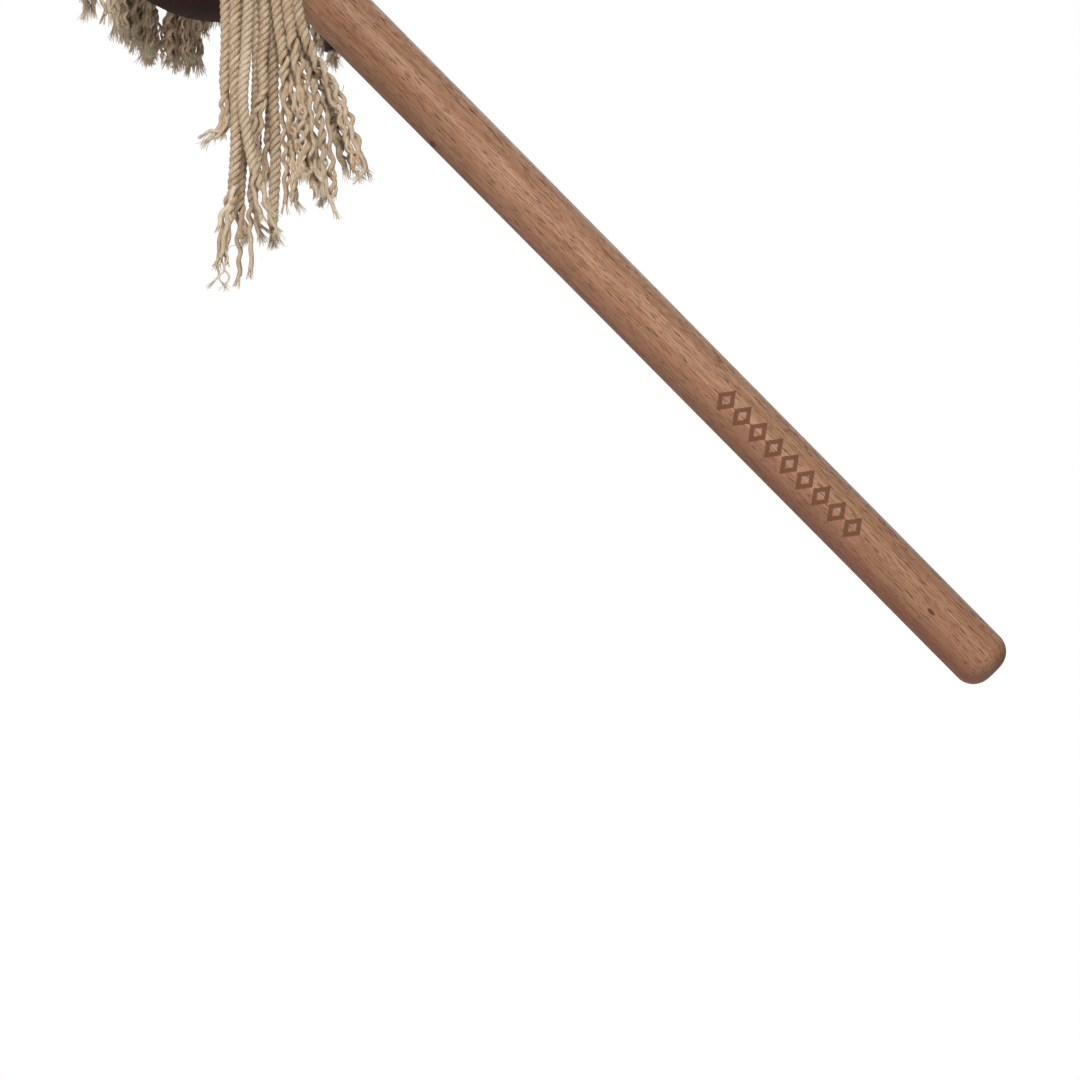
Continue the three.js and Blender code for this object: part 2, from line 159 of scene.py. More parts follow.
# ---- cord routes: points are [right, back, up] from the middle of the cup's mouth, in mm ----
LOCKS = {
    "front_left": [
        [[7, -58, 18], [6.5, -61, 3], [7, -60, -20], [7.5, -59.5, -45], [8, -59.5, -70],
         [7.5, -59.5, -88], [8.5, -59.5, -100], [6, -60, -107]],
        [[10, -62, 24], [11, -69, 11], [12, -71.5, -12], [12.5, -71.5, -42], [12, -71.5, -78],
         [12.5, -71.5, -107], [11.5, -71.5, -129], [9.5, -71.5, -140], [6.5, -71.5, -160]],
        [[15, -65, 30], [16, -74, 17], [17.5, -77.5, -10], [18, -77.5, -42], [17, -77.5, -75],
         [15.5, -77.5, -96], [18, -77.5, -112], [21.5, -77.5, -128], [25, -77.5, -141]],
        [[13, -56, 21], [13, -59.5, 5], [13, -59.5, -15], [13.5, -59.5, -41], [13.5, -59.5, -77],
         [15, -59.5, -107], [13.5, -59.5, -136], [14.5, -59.5, -151], [15, -59.5, -166]],
        [[17, -58, 27], [17.5, -64.5, 12], [18, -65.5, -12], [19, -65.5, -41], [21, -65.5, -78],
         [20.5, -65.5, -103], [20.5, -65.5, -120], [19, -65.5, -135], [21, -65.5, -155],
         [21, -65.5, -164]],
        [[20, -61, 32], [21.5, -69, 19], [22.5, -71.5, -8], [23, -71.5, -42], [24, -71.5, -66],
         [23, -71.5, -79], [23.5, -71.5, -91], [20.5, -71.5, -102], [20, -71.5, -109]],
        [[22.5, -55.5, 31], [24, -62.5, 16], [24.5, -65, -8], [25.5, -65.5, -41],
         [27.5, -65.5, -74], [27.5, -65.5, -91], [28.5, -65.5, -120], [27.5, -65.5, -137],
         [27, -65.5, -149]],
        [[19, -53, 26], [19.5, -58, 10], [20, -59.5, -12], [20.5, -59.5, -41], [23.5, -59.5, -65],
         [26, -59.5, -86], [26, -59.5, -106], [24.5, -59.5, -126]],
    ],
    "front_right": [
        [[28, -48, 37], [29, -54, 20], [29, -57.5, -8], [29.5, -59.5, -41], [32, -59.5, -65],
         [37, -59.5, -84], [40.5, -59.5, -96], [42.5, -59.5, -110], [46, -59.5, -131]],
        [[26, -64, 43], [27.5, -73.5, 30], [28, -77.5, 0], [28, -77.5, -42], [30, -77.5, -62],
         [33, -77.5, -83], [34.5, -77.5, -99], [38.5, -77.5, -111], [42.5, -77.5, -121],
         [47, -77.5, -132]],
        [[29, -58, 42], [30, -66.5, 28], [30, -71, 0], [30, -71.5, -42], [32, -71.5, -66],
         [33, -71.5, -86], [33.5, -71.5, -107], [35, -71.5, -123], [35, -71.5, -137]],
        [[31, -51, 41], [32.5, -59, 26], [33, -64.5, -4], [33, -65.5, -41], [35.5, -65.5, -62],
         [41.5, -65.5, -78], [45.5, -65.5, -90], [47.5, -65.5, -102], [49, -65.5, -119],
         [50, -65.5, -135]],
        [[34, -53, 47], [36, -62, 34], [36.5, -69.5, 4], [36, -71.5, -38], [38.5, -71.5, -62],
         [44, -71.5, -77], [51, -71.5, -88], [56, -71.5, -99], [60, -71.5, -111],
         [64, -71.5, -124]],
        [[34, -42, 41], [36, -49.5, 24], [36.5, -54, -6], [36, -59, -45], [38.5, -59.5, -69],
         [45.5, -59.5, -81], [50.5, -59.5, -92], [53, -59.5, -105], [58, -59.5, -122]],
        [[32, -60, 49], [33.5, -71, 38], [34, -81, 8], [33, -83, -42], [35, -83, -66],
         [38.5, -83, -83], [41, -83, -99], [42, -83, -115], [40.5, -83, -126]],
    ],
    "back_left": [
        [[-41, 37, 4], [-43, 41, -8], [-42, 42, -34], [-41.5, 42, -58]],
        [[-37, 42, 6], [-38, 46, -7], [-37, 47, -34], [-36, 47, -62]],
        [[-32, 46, 8], [-32.5, 50, -6], [-31.5, 51.5, -34], [-31, 51.5, -65]],
        [[-39, 46, 12], [-41, 51.5, 0], [-40, 53.5, -34], [-38.5, 53.5, -60]],
        [[-34, 50, 15], [-35, 56, 2], [-35, 58, -33], [-34.5, 58, -64]],
        [[-28.5, 50, 11], [-28.5, 55.5, -3], [-28.5, 57, -33], [-28.5, 57, -67]],
        [[-31, 55, 15.5], [-31, 61.5, 2.5], [-30.5, 63.5, -33], [-30, 63.5, -69]],
    ],
    "back_middle": [
        [[-21, 50.5, 18], [-21, 56.5, 4], [-20.5, 58.5, -33], [-20.5, 58.5, -70]],
        [[-15.5, 52, 19], [-15.5, 58.5, 5], [-15, 60.5, -33], [-13.5, 60.5, -69]],
        [[-9, 52, 22], [-9, 58.5, 8], [-9, 61, -30], [-8.5, 61, -57]],
        [[-3, 52, 24], [-2.5, 58.5, 10], [-2.5, 61, -28], [-2, 61, -53]],
        [[-20, 57, 25], [-19.5, 63.5, 11], [-18.5, 66, -32], [-17, 66.5, -71]],
        [[-12, 58, 27], [-12, 65, 14], [-12, 67.5, -30], [-11, 67.5, -72]],
    ],
    "back_right": [
        [[5, 51, 34], [5.5, 58, 20], [5, 61, -24], [5, 61, -56]],
        [[12, 50, 35], [12.5, 56.5, 21], [12.5, 59.5, -22], [12, 59.5, -60]],
        [[19, 47, 37], [20, 53, 22], [20.5, 56.5, -20], [20, 56.5, -58]],
        [[25.5, 42, 39], [27.5, 48.5, 24], [28.5, 53, -18], [28, 53, -61]],
        [[31.5, 36, 40], [34.5, 43, 26], [36.5, 49, -16], [35.5, 49, -64]],
        [[36, 29, 41], [41, 36, 28], [43.5, 44, -12], [43, 44, -66]],
        [[39.5, 21.5, 42], [46, 28, 31], [50.5, 36, -10], [49, 37, -71]],
        [[9, 56, 42], [9, 63.5, 29], [8.5, 66.5, -20], [8.5, 66.5, -52]],
    ],
    "left": [
        [[-43, -4, 11], [-50, -5, 1], [-52.5, -5, -26], [-51.5, -5, -54]],
        [[-43, 7.5, 2], [-46, 9.5, -9], [-45, 11, -30], [-44, 12, -54]],
        [[-42.5, -13.5, 7], [-49, -16.5, -3], [-51, -18, -24], [-50.5, -18, -44]],
        [[-43.5, 14, 12], [-51, 18, 2], [-53.5, 21, -22], [-53, 21.5, -45]],
    ],
}

# ---- how the cords' ends come apart: mm from the cut end, and mm that the plies spread ----
ENDS = {
    "front_left": {"untwist": 20, "spread": 2.2, "crimp": 0.7},
    "front_right": {"untwist": 66, "spread": 2.1, "crimp": 1.1},
    "back_left": {"untwist": 26, "spread": 2.1, "crimp": 0.9},
    "back_middle": {"untwist": 26, "spread": 2.1, "crimp": 0.9},
    "back_right": {"untwist": 30, "spread": 2.1, "crimp": 0.9},
    "left": {"untwist": 20, "spread": 2.1, "crimp": 0.8},
}
ODD_ENDS = {
    "front_left_cord_2": {"untwist": 34, "spread": 1.6},
    "front_left_cord_4": {"untwist": 34, "spread": 1.9, "short": (0, 15, 16)},
    "front_left_cord_5": {"untwist": 34, "spread": 2.2, "short": (0, 14, 15)},
    "front_left_cord_7": {"untwist": 5, "spread": 0.5, "brush": True},
    "front_right_cord_1": {"untwist": 40},
    "back_right_cord_7": {"untwist": 8, "spread": 1.0},
}

# Thin yarns that fill out each cord's frayed end.
FRINGE = {"front_left": 0, "front_right": 2, "back_left": 8, "back_middle": 8, "back_right": 4, "left": 4}

# ---- single plies and wisps that have come away from a cord: (cord, radius, points) in mm ----
STRAYS = [
    ("front_left_cord_1", 0.9, [[8, -60.5, -98], [7.5, -61.5, -104.5], [4.5, -61.5, -107],
                                [2, -61.5, -107], [-0.5, -61.5, -108]]),
    ("front_left_cord_1", 0.9, [[8.5, -61.5, -99], [7.5, -63.5, -106], [4.5, -63.5, -109],
                                [2, -63.5, -109.5], [1, -63.5, -111]]),
    ("front_left_cord_2", 1.1, [[12, -73, -130], [10.5, -73, -135.5], [8.5, -73, -139],
                                [6.5, -73, -142], [5.5, -73, -146]]),
    ("front_left_cord_2", 0.5, [[7.5, -71.5, -155], [5, -71.5, -158.5], [5, -71.5, -162.5],
                                [5.5, -71.5, -165], [3.5, -71.5, -169]]),
    ("front_left_cord_2", 0.5, [[8, -73, -155], [9, -73, -159], [8, -73, -163],
                                [9.5, -73, -166.5], [8.5, -73, -170]]),
    ("front_left_cord_2", 0.45, [[7.5, -72, -156], [7, -72, -160], [7.5, -72, -164],
                                 [6, -72, -167], [7, -72, -169.5]]),
    ("front_left_cord_3", 1.0, [[23.5, -79, -136.5], [26, -79, -140], [27, -79, -143],
                                [29, -79, -146.5]]),
    ("front_left_cord_5", 0.9, [[20, -66, -134], [20.5, -67, -139], [22.5, -67, -142],
                                [22, -67, -144.5], [23.5, -67, -147]]),
    ("front_right_cord_2", 0.95, [[37, -78.5, -92], [37.5, -79.5, -98], [40, -79.5, -102.5],
                                  [39.5, -79.5, -106.5], [41.5, -79.5, -111],
                                  [42, -79.5, -115.5], [44, -79.5, -119.5],
                                  [45.5, -79.5, -124.5], [47.5, -79.5, -128.5]]),
    ("front_right_cord_4", 1.0, [[48.5, -66.5, -124], [49, -67, -130], [50.5, -67, -134],
                                 [51.5, -67, -137.5], [53, -67, -140]]),
    ("front_right_cord_5", 1.0, [[48, -72, -86], [52, -73, -96.5], [55.5, -73, -100],
                                 [54.5, -73, -104.5], [57.5, -73, -107.5], [57, -73, -111.5],
                                 [60, -73, -115], [60, -73, -118.5], [62.5, -73, -121.5]]),
    ("front_right_cord_5", 0.8, [[60.5, -73, -116], [63.5, -75, -117.5], [65, -75, -120.5],
                                 [64.5, -75, -124], [63, -75, -126]]),
    ("front_right_cord_6", 1.0, [[44, -60, -80], [49, -61, -86], [48, -61, -90],
                                 [51.5, -61, -94], [51, -61, -98], [53.5, -61, -102.5],
                                 [52, -61, -106.5], [55, -61, -110.5]]),
]
# Loose hairs that stand away from a cord.
HAIRS = [
    ("front_left_cord_2", [[9.5, -72, -156], [10, -72, -154.5], [12, -72, -154], [14, -72, -153]]),
    ("front_right_cord_4", [[46.5, -66, -102], [45.5, -66, -100], [43.5, -66, -100],
                            [42.5, -66, -101.5]]),
    ("front_right_cord_5", [[52, -71, -93], [55.5, -70, -91.5], [56.5, -70, -88.5]]),
    ("front_left_cord_6", [[23, -72, -86.5], [20.5, -73, -88.5], [18.5, -73, -91]]),
]


# ---- curves ----
def run_along(line):
    """Distance from a line's start to each of its points."""
    return np.concatenate([[0], np.cumsum(np.linalg.norm(np.diff(line, axis=0), axis=1))])


def nearest(line, point):
    """Index of a line's nearest point to the one given."""
    return int(np.argmin(np.linalg.norm(line - point, axis=1)))


def centripetal(points, step):
    """A centripetal Catmull-Rom curve through the points, at even steps."""
    p = np.asarray(points, float)
    p = np.vstack([2 * p[0] - p[1], p, 2 * p[-1] - p[-2]])
    dense = []
    for p0, p1, p2, p3 in zip(p[:-3], p[1:-2], p[2:-1], p[3:]):
        t1 = np.linalg.norm(p1 - p0) ** 0.5
        t2 = t1 + np.linalg.norm(p2 - p1) ** 0.5
        t3 = t2 + np.linalg.norm(p3 - p2) ** 0.5
        t = np.linspace(t1, t2, 24, endpoint=False)[:, None]
        a1 = (t1 - t) / t1 * p0 + t / t1 * p1
        a2 = (t2 - t) / (t2 - t1) * p1 + (t - t1) / (t2 - t1) * p2
        a3 = (t3 - t) / (t3 - t2) * p2 + (t - t2) / (t3 - t2) * p3
        b1 = (t2 - t) / t2 * a1 + t / t2 * a2
        b2 = (t3 - t) / (t3 - t1) * a2 + (t - t1) / (t3 - t1) * a3
        dense.append((t2 - t) / (t2 - t1) * b1 + (t - t1) / (t2 - t1) * b2)
    dense = np.vstack([*dense, p[-2:-1]])
    run = run_along(dense)
    stations = np.linspace(0, run[-1], max(4, round(run[-1] / step)) + 1)
    return np.stack([np.interp(stations, run, dense[:, i]) for i in range(3)], 1), stations


def turned_frames(line):
    """Tangents and two cross directions along a line, with as little turning as can be."""
    tangents = np.gradient(line, axis=0)
    tangents /= np.linalg.norm(tangents, axis=1)[:, None]
    start = np.cross(tangents[0], [0.31, 0.85, 0.42])
    sides = [start / np.linalg.norm(start)]
    for t in tangents[1:]:
        s = sides[-1] - t * (sides[-1] @ t)
        sides.append(s / np.linalg.norm(s))
    sides = np.array(sides)
    return tangents, sides, np.cross(tangents, sides)


def ease(x):
    x = np.clip(x, 0, 1)
    return x * x * (3 - 2 * x)


# ---- mesh building ----
class Yarn:
    """Gathers tubes for one mesh, with what the cotton material reads at each point."""

    def __init__(self):
        self.points, self.faces, self.yarn, self.depth, self.tone = [], [], [], [], []
        self.count = 0

    def tube(self, line, radii, sides, depth=None, tone=None):
        """A closed tube. depth is 0 in the grooves between plies and 1 on the outside; the cotton material
        paints shade into the grooves from it.
        """
        _, side, other = turned_frames(line)
        radii = np.broadcast_to(radii, len(line))
        angles = np.arange(sides) * 2 * math.pi / sides
        ring = np.cos(angles)[None, :, None] * side[:, None] + np.sin(angles)[None, :, None] * other[:, None]
        points = line[:, None] + ring * radii[:, None, None]
        run = run_along(line)
        spin = angles[None, :] + 2 * math.pi * run[:, None] / YARN_PITCH
        local = np.stack([np.cos(spin), np.sin(spin), np.broadcast_to(run[:, None] / MM, spin.shape)], 2)
        n, base = len(line), self.count
        index = base + np.arange(n * sides).reshape(n, sides)
        a, b = index[:-1], index[1:]
        quads = np.stack([a, np.roll(a, -1, 1), np.roll(b, -1, 1), b], 2).reshape(-1, 4)
        self.faces += quads.tolist() + [index[0][::-1].tolist(), index[-1].tolist()]
        self.points.append(points.reshape(-1, 3))
        self.yarn.append(local.reshape(-1, 3))
        self.depth.append((np.ones(n * sides) if depth is None else depth(points)).reshape(-1))
        self.tone.append(np.full(n * sides, rng.random() if tone is None else tone))
        self.count += n * sides

    def object(self, name):
        mesh = bpy.data.meshes.new(name)
        mesh.from_pydata(np.vstack(self.points).tolist(), [], self.faces)
        mesh.polygons.foreach_set("use_smooth", [True] * len(mesh.polygons))
        layers = (
            ("yarn", "FLOAT_VECTOR", "vector", self.yarn),
            ("depth", "FLOAT", "value", self.depth),
            ("tone", "FLOAT", "value", self.tone),
        )
        for key, kind, field, rows in layers:
            data = np.concatenate([np.ravel(r) for r in rows]).astype(np.float32)
            mesh.attributes.new(key, kind, "POINT").data.foreach_set(field, data)
        made = bpy.data.objects.new(name, mesh)
        bpy.context.scene.collection.objects.link(made)
        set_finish(made, "cotton")
        return made


def tuft(yarn, end, heading, radius, length, count, flare):
    """Cut fibres at the end of a ply: a small brush of tapered hairs."""
    heading = heading / np.linalg.norm(heading)
    across = np.cross(heading, [0.2, 0.9, 0.3])
    across /= np.linalg.norm(across)
    other = np.cross(heading, across)
    for _ in range(count):
        turn, out = rng.uniform(0, 2 * math.pi), math.sqrt(rng.random())
        side = math.cos(turn) * across + math.sin(turn) * other
        reach = length * rng.uniform(0.7, 1.05)
        bend = rng.uniform(-0.35, 0.35) * reach
        shares = np.linspace(0, 1, 6)[:, None]
        line = (end - heading * 1.2 * MM + side * out * radius * 0.8
                + heading * (reach + 1.2 * MM) * shares
                + side * out * flare * reach * shares ** 1.6
                + other * bend * np.sin(shares * math.pi) * shares * 0.5)
        thickness = radius * rng.uniform(0.2, 0.32)
        yarn.tube(line, thickness * np.linspace(1, 0.3, 6), 4, tone=rng.uniform(0.45, 1))


def crimped(line, amount, pitch, phase):
    """A line that keeps the waves of the cord that it was twisted in."""
    _, side, other = turned_frames(line)
    run = run_along(line)
    turn = 2 * math.pi * run / pitch + phase
    fade = np.minimum(1, run / (0.4 * pitch))
    return line + (side * np.cos(turn)[:, None] + other * np.sin(turn)[:, None]) * (amount * fade)[:, None]


def lay_plies(yarn, line, run, end, sides=PLY_SIDES):
    """Twists the plies round a centreline and lets them come apart near its end. Gives the ply ends."""
    tangents, side, other = turned_frames(line)
    total, untwist = run[-1], max(end["untwist"] * MM, 1e-6)
    loose = ease((run - (total - untwist)) / (0.55 * untwist))[:, None]
    start, away = rng.uniform(0, 2 * math.pi), rng.uniform(-0.5, 0.5)
    pitch = TWIST_PITCH * rng.uniform(0.94, 1.08)
    ends = []
    for ply in range(PLIES):
        slip = rng.uniform(-0.5, 0.5) * loose[:, 0] * np.sin(run / MM / rng.uniform(6, 11))
        turn = start + 2 * math.pi * (ply / PLIES + run / pitch + slip)
        spun = side * np.cos(turn)[:, None] + other * np.sin(turn)[:, None]
        lean = math.pi * (ply - 1) * 0.75 + away
        apart = unit([math.sin(lean), 0.45 * math.cos(lean) * (-1) ** ply, 0])
        apart = apart - tangents * (tangents @ apart)[:, None]
        wave = run / MM / rng.uniform(5, 9) + rng.uniform(0, 6)
        crimp = rng.uniform(0.5, 0.9) * end["crimp"] * MM * (1 + 0.55 * np.sin(wave))[:, None]
        drift = np.sin(run / MM / rng.uniform(7, 12) + rng.uniform(0, 6))[:, None] * DRIFT
        offset = spun * (PLY_RING * (1 - loose) + crimp * loose)
        offset += (apart * (end["spread"] * MM + drift) + np.cross(tangents, apart) * drift) * loose
        cut = (end["short"][ply] if "short" in end else ply * rng.uniform(0, 0.9)) * MM
        kept = run <= total - cut
        centre = (line + offset)[kept]
        radii = PLY_RADIUS * (1 + 0.05 * np.sin(run[kept] * 900 + 2 * ply)) * (1 - 0.12 * loose[kept, 0])
        middle = line[kept][:, None]
        # depth: how far a point lies out from the cord's core, which the cotton material turns into painted
        # groove shade.
        yarn.tube(centre, radii, sides, depth=lambda p: np.clip(
            (np.linalg.norm(p - middle, axis=2) - 0.5 * MM) / (CORD_DIAMETER / 2 - 0.5 * MM), 0, 1))
        ends.append((centre[-1], centre[-1] - centre[-4], radii[-1]))
    return ends


# ---- the way of each cord from its root on the handle to where it turns over ----
def crown_points(crest, heading, rank, count):
    """Root, up through the cup's mouth, and over on an arc that reaches the crest along its heading."""
    away = crest - MOUTH_CENTRE
    flat = away - AXIS * (away @ AXIS)
    reach = np.linalg.norm(flat)
    azimuth = math.atan2(flat @ BACK, flat @ ASIDE)
    root = -math.pi + 2 * math.pi * (rank + 0.5) / count
    radius = ROOT_RADII[rank % 2]
    mid = root + 0.6 * ((azimuth - root + math.pi) % (2 * math.pi) - math.pi)
    inward = unit(heading * (away @ heading) - away)
    over = [crest + ARCH_RADIUS * (inward * (1 - math.cos(a)) - heading * math.sin(a))
            for a in np.radians(ARCH_TURNS)]
    return [
        on_stick(ROOTS_FOOT, radius, root),
        on_stick(ROOTS_FOOT + ROOT_LENGTH, radius, root),
        on_stick(MOUTH, 0.36 * reach, mid),
        *over,
    ]


def crest_azimuth(points):
    away = np.array(points[0]) * MM
    return math.atan2(away @ BACK, away @ ASIDE)


def make_cords():
    """All the declared cords, each with its tuft and the plies that have come away from it."""
    order = sorted(((crest_azimuth(p), lock, i) for lock, rows in LOCKS.items() for i, p in enumerate(rows)))
    for rank, (_, lock, i) in enumerate(order):
        name = f"{lock}_cord_{i + 1}"
        hang = MOUTH_CENTRE + np.array(LOCKS[lock][i], float) * MM
        leaving = unit(hang[1] - hang[0])
        route = np.vstack([crown_points(hang[0], leaving, rank, len(order)), hang])
        line, run = centripetal(route, STEP)
        end = {**ENDS[lock], **ODD_ENDS.get(name, {})}
        twisted, frays = Yarn(), Yarn()
        for tip, heading, radius in lay_plies(twisted, line, run, end):
            brush = end.get("brush")
            tuft(frays, tip, heading, radius, (7 if brush else rng.uniform(3.5, 6)) * MM,
                 26 if brush else 13, 0.45 if brush else rng.uniform(0.25, 0.6))
        for strand, radius, points in STRAYS:
            if strand == name:
                add_stray(frays, radius * MM, points)
        for strand, points in HAIRS:
            if strand == name:
                hair, _ = centripetal(MOUTH_CENTRE + np.array(points, float) * MM, STEP)
                frays.tube(hair, HAIR_RADIUS, 4, tone=0.1)
        add_fringe(frays, line, run, FRINGE[lock])
        add_fuzz(frays, line[nearest(line, hang[1]):])
        cord = twisted.object(name + "_plies")
        ends = frays.object(name + "_frays")
        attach(ends, lock + "_lock")
        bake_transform(cord)
        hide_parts(name)
        if name == "back_right_cord_7":
            make_tie(line, lock)


def add_stray(yarn, radius, points):
    line, _ = centripetal(MOUTH_CENTRE + np.array(points, float) * MM, STRAY_STEP)
    line = crimped(line, 0.35 * MM, TWIST_PITCH, rng.uniform(0, 6))
    yarn.tube(line, radius * np.linspace(1, 0.85, len(line)), 7)
    tuft(yarn, line[-1], line[-1] - line[-3], radius, rng.uniform(3, 4.5) * MM, 11, rng.uniform(0.3, 0.6))


def add_fringe(yarn, line, run, count):
    """Thin wavy yarns among a cord's loosened plies, which fill the gaps to its neighbours."""
    for _ in range(count):
        strand = line[run > run[-1] - rng.uniform(15, 30) * MM]
        away = unit([rng.gauss(0, 1), rng.gauss(0, 1), 0]) * rng.uniform(1.2, 3.9) * MM
        opened = ease(np.linspace(0, 2, len(strand)))[:, None]
        pitch = TWIST_PITCH * rng.uniform(0.6, 1.0)
        strand = crimped(strand + away * opened, rng.uniform(0.4, 0.9) * MM, pitch, rng.uniform(0, 6))
        strand = strand[:len(strand) - rng.randrange(6)]
        radius = rng.uniform(0.5, 0.75) * MM
        yarn.tube(strand, radius, 6)
        tuft(yarn, strand[-1], strand[-1] - strand[-3], radius, rng.uniform(2, 4) * MM, 7,
             rng.uniform(0.3, 0.6))


def add_fuzz(yarn, line):
    """Fine loose fibres that stand off the hanging stretch."""
    for _ in range(FUZZ_FIBRES):
        at = line[rng.randrange(len(line) - 2)]
        out = unit([rng.gauss(0, 1), rng.gauss(0, 1), rng.gauss(0, 0.6)])
        curl = unit([rng.gauss(0, 1), rng.gauss(0, 1), rng.gauss(0, 1)])
        shares = np.linspace(0, 1, 5)[:, None]
        reach = rng.uniform(1.0, 2.6) * MM
        hair = at + out * (CORD_DIAMETER / 2 - 0.4 * MM + reach * shares) + curl * reach * 0.5 * shares ** 2
        yarn.tube(hair, FUZZ_RADIUS * np.linspace(1, 0.5, 5), 3, tone=0.9)


def make_tie(line, lock):
    """A dark thread wound three times round one cord, above its cut end."""
    low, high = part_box("tie_thread")
    at = nearest(line, np.array((low + high) / 2))
    tangents, side, other = turned_frames(line)
    wraps, thick = 3, 0.7 * MM
    turn = np.linspace(0, 2 * math.pi * wraps, 30 * wraps)
    rise = (turn / (2 * math.pi) - wraps / 2) * 2 * thick
    centre = line[at] + tangents[at] * rise[:, None]
    radius = CORD_DIAMETER / 2 + 0.2 * MM + thick
    wound = centre + radius * (np.cos(turn)[:, None] * side[at] + np.sin(turn)[:, None] * other[at])
    thread = Yarn()
    thread.tube(wound, thick, 8, tone=0.2)
    tie = thread.object("tie_thread_wound")
    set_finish(tie, "thread")
    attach(tie, lock + "_lock")
    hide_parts("tie_thread")
    return tie


def filler_arc(yarn, points):
    line, run = centripetal(points, FILLER_STEP)
    whole = {"untwist": 0.001, "spread": 0, "crimp": 0, "short": (0, 0, 0)}
    lay_plies(yarn, line, run, whole, sides=FILLER_SIDES)


def make_bundle():
    """The cords' bound inner lengths: arcs that rise from the cup, turn over and go back inside the rim."""
    yarn = Yarn()
    rim, top = widest("cord_bundle") - 2 * MM, CROWN_TOP - MOUTH - CORD_DIAMETER / 2
    meridians, loops = 34, 9
    # Height and reach of the points of a loop over the handle's head, as shares of its lift and width.
    hoop = ((-0.2, 0.95), (0.45, 1), (0.85, 0.7), (1, 0), (0.85, -0.7), (0.45, -1), (-0.2, -0.95))
    for i in range(meridians):
        azimuth = 2 * math.pi * (i + rng.uniform(-0.2, 0.2)) / meridians
        inner, lift = (14 + 9 * (i % 2)) * MM, (0.62 + 0.1 * (i % 2)) * top
        filler_arc(yarn, [
            on_stick(MOUTH - 6 * MM, inner, azimuth),
            on_stick(MOUTH + 0.7 * lift, inner + 1 * MM, azimuth),
            on_stick(MOUTH + lift, inner + 9 * MM, azimuth),
            on_stick(MOUTH + 0.62 * lift, 0.86 * rim, azimuth),
            on_stick(MOUTH + 2 * MM, rim, azimuth),
            on_stick(MOUTH - 16 * MM, 0.97 * rim, azimuth),
        ])
    for i in range(loops):
        azimuth = math.pi * (i * 0.382 + 0.1)
        lift, wide = top * (0.98 - 0.05 * (i % 4)), (20 + 3 * (i % 3)) * MM
        shift = (i % 3 - 1) * 7 * MM
        across = math.cos(azimuth) * BACK - math.sin(azimuth) * ASIDE
        filler_arc(yarn, [on_stick(MOUTH + lift * h, wide * r, azimuth) + across * shift for h, r in hoop])
    bundle = yarn.object("cord_bundle_inner_cords")
    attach(bundle, "stick")
    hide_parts("cord_bundle")


# ---- turned pieces: the handle and the cup ----
BUTT_RADIUS, HEAD_RADIUS = 12.3 * MM, 12.8 * MM
BUTT_ROUNDING = 9.0 * MM
HEAD_CHAMFER = 1.5 * MM
HANDLE_SIDES, CUP_SIDES = 128, 180
CUP_WALL, CUP_LIP = 2.4 * MM, 4 * MM
CUP_BORE = HEAD_RADIUS + 0.3 * MM
SLEEVE_LENGTH = 17 * MM
GATHERS, GATHER_DEPTH = 26, 0.55 * MM      # soft folds where the leather closes on the handle
BOWL_CENTRE = MOUTH - CUP_LIP


def arc(middle, radius, start, end, count):
    """[radius, station] points of an arc; angles in degrees, from straight out towards the head."""
    turns = np.radians(np.linspace(start, end, count + 1))
    return [[middle[0] + radius * math.cos(a), middle[1] + radius * math.sin(a)] for a in turns]


def lathe(name, profile, sides, slot, shape, closed=False):
    """Turns [radius, station] points about the handle. grain holds the point in mm in the stick's frame."""
    made = bmesh.new()
    grain = made.verts.layers.float_vector.new("grain")
    rows = []
    for radius, station in profile:
        row = []
        for i in range(sides if radius > 1e-7 else 1):
            azimuth = 2 * math.pi * i / sides
            r, u = shape(radius, station, azimuth)
            vert = made.verts.new(on_stick(u, r, azimuth))
            vert[grain] = (r * math.cos(azimuth) / MM, r * math.sin(azimuth) / MM, u / MM)
            row.append(vert)
        rows.append(row)
    for a, b in zip(rows, rows[1:] + rows[:1] if closed else rows[1:]):
        for i in range(sides):
            j = (i + 1) % sides
            corners = [a[i % len(a)], a[j % len(a)], b[j % len(b)], b[i % len(b)]]
            made.faces.new(list(dict.fromkeys(corners)))
    bmesh.ops.recalc_face_normals(made, faces=made.faces)
    for face in made.faces:
        face.smooth = True
    mesh = bpy.data.meshes.new(name)
    made.to_mesh(mesh)
    made.free()
    turned = bpy.data.objects.new(name, mesh)
    bpy.context.scene.collection.objects.link(turned)
    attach(turned, "stick")
    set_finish(turned, slot)
    return turned


def make_handle():
    rounding = arc((BUTT_RADIUS - BUTT_ROUNDING, BUTT_END + BUTT_ROUNDING), BUTT_ROUNDING, -90, 0, 18)
    butt = [[0, BUTT_END], [(BUTT_RADIUS - BUTT_ROUNDING) / 2, BUTT_END]]
    shank = [[BUTT_RADIUS + (HEAD_RADIUS - BUTT_RADIUS) * x, BUTT_END + BUTT_ROUNDING
              + (HEAD_END - HEAD_CHAMFER - BUTT_END - BUTT_ROUNDING) * x] for x in np.linspace(0, 1, 90)[1:]]
    head = [[HEAD_RADIUS - HEAD_CHAMFER, HEAD_END], [HEAD_RADIUS / 2, HEAD_END], [0, HEAD_END]]

    def uneven(radius, station, azimuth):
        """Sanding leaves the turned surface very slightly out of round."""
        wave = math.sin(3 * azimuth + station * 21) + 0.6 * math.sin(7 * azimuth - station * 55)
        return radius * (1 + 0.0016 * wave), station

    handle = lathe("handle_turned", butt + rounding + shank + head, HANDLE_SIDES, "beech", uneven)
    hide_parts("handle")


